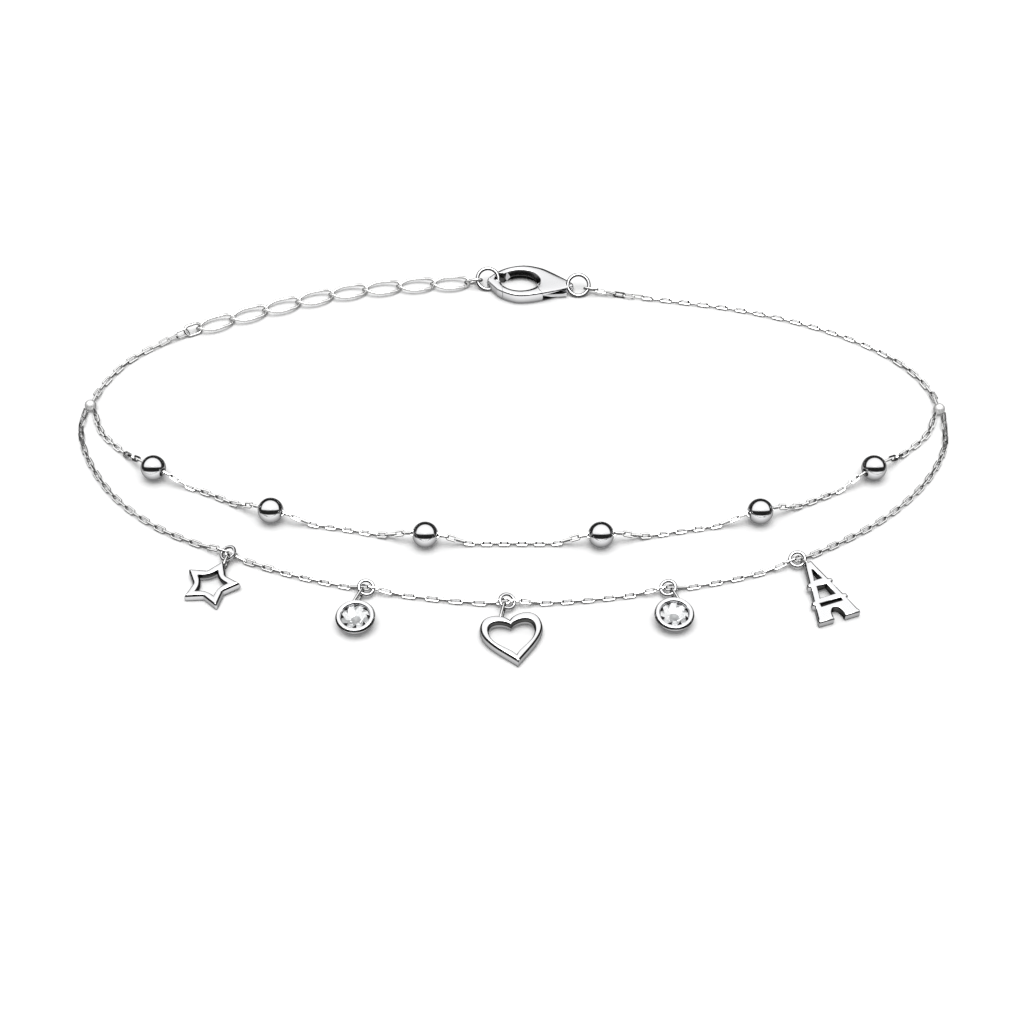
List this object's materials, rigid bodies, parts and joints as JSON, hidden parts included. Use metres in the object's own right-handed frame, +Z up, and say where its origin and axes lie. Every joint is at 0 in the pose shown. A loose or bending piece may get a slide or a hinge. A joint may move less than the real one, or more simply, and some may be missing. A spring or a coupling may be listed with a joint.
{
  "type": "charm bracelet",
  "caption": "Chain bracelet lying closed, with beads on the inner strand, star, heart, tower and round crystal charms on the outer strand, an extender chain and a lobster clasp.",
  "frame": {"origin": "on the surface under the middle of the loop's bounding box", "axes": "+X along the loop's longest width, from the extender's side to the plain back chain's side; +Z up from the surface; the clasp is towards +Y and the charms hang towards -Y"},
  "size_m": [0.0797, 0.0507, 0.0022],
  "materials": {
    "silver": "mirror polished",
    "crystal": "clear and faceted"
  },
  "bodies": {
    "bracelet": {"outer_strand": "silver", "inner_strand": "silver", "bead_1": "silver", "bead_2": "silver", "bead_3": "silver", "bead_4": "silver", "bead_5": "silver", "bead_6": "silver", "junction_left": "silver", "junction_right": "silver", "clasp_body": "silver", "catch_ring": "silver", "clasp_ring": "silver", "back_chain_right": "silver", "extender_link_01": "silver", "extender_link_02": "silver", "extender_link_03": "silver", "extender_link_04": "silver", "extender_link_05": "silver", "extender_link_06": "silver", "extender_link_07": "silver", "extender_link_08": "silver", "extender_link_09": "silver", "extender_link_10": "silver", "back_chain_left": "silver", "charm_ring_1": "silver", "charm_ring_2": "silver", "charm_ring_3": "silver", "charm_ring_4": "silver", "charm_ring_5": "silver", "star_charm": "silver", "bezel_1": "silver", "heart_charm": "silver", "bezel_2": "silver", "tower_charm": "silver", "stone_1": "crystal", "stone_2": "crystal"},
    "lever": {"clasp_lever": "silver"}
  },
  "joints": [
    {"name": "gate_hinge", "type": "hinge", "parent": "bracelet", "child": "lever", "pos_m": [0.0039, 0.022, 0.00057], "axis": [0, 0, -1], "range_deg": [0, 20], "stiffness_Nm_per_rad": 0.0005, "springref_deg": -28.65}
  ]
}
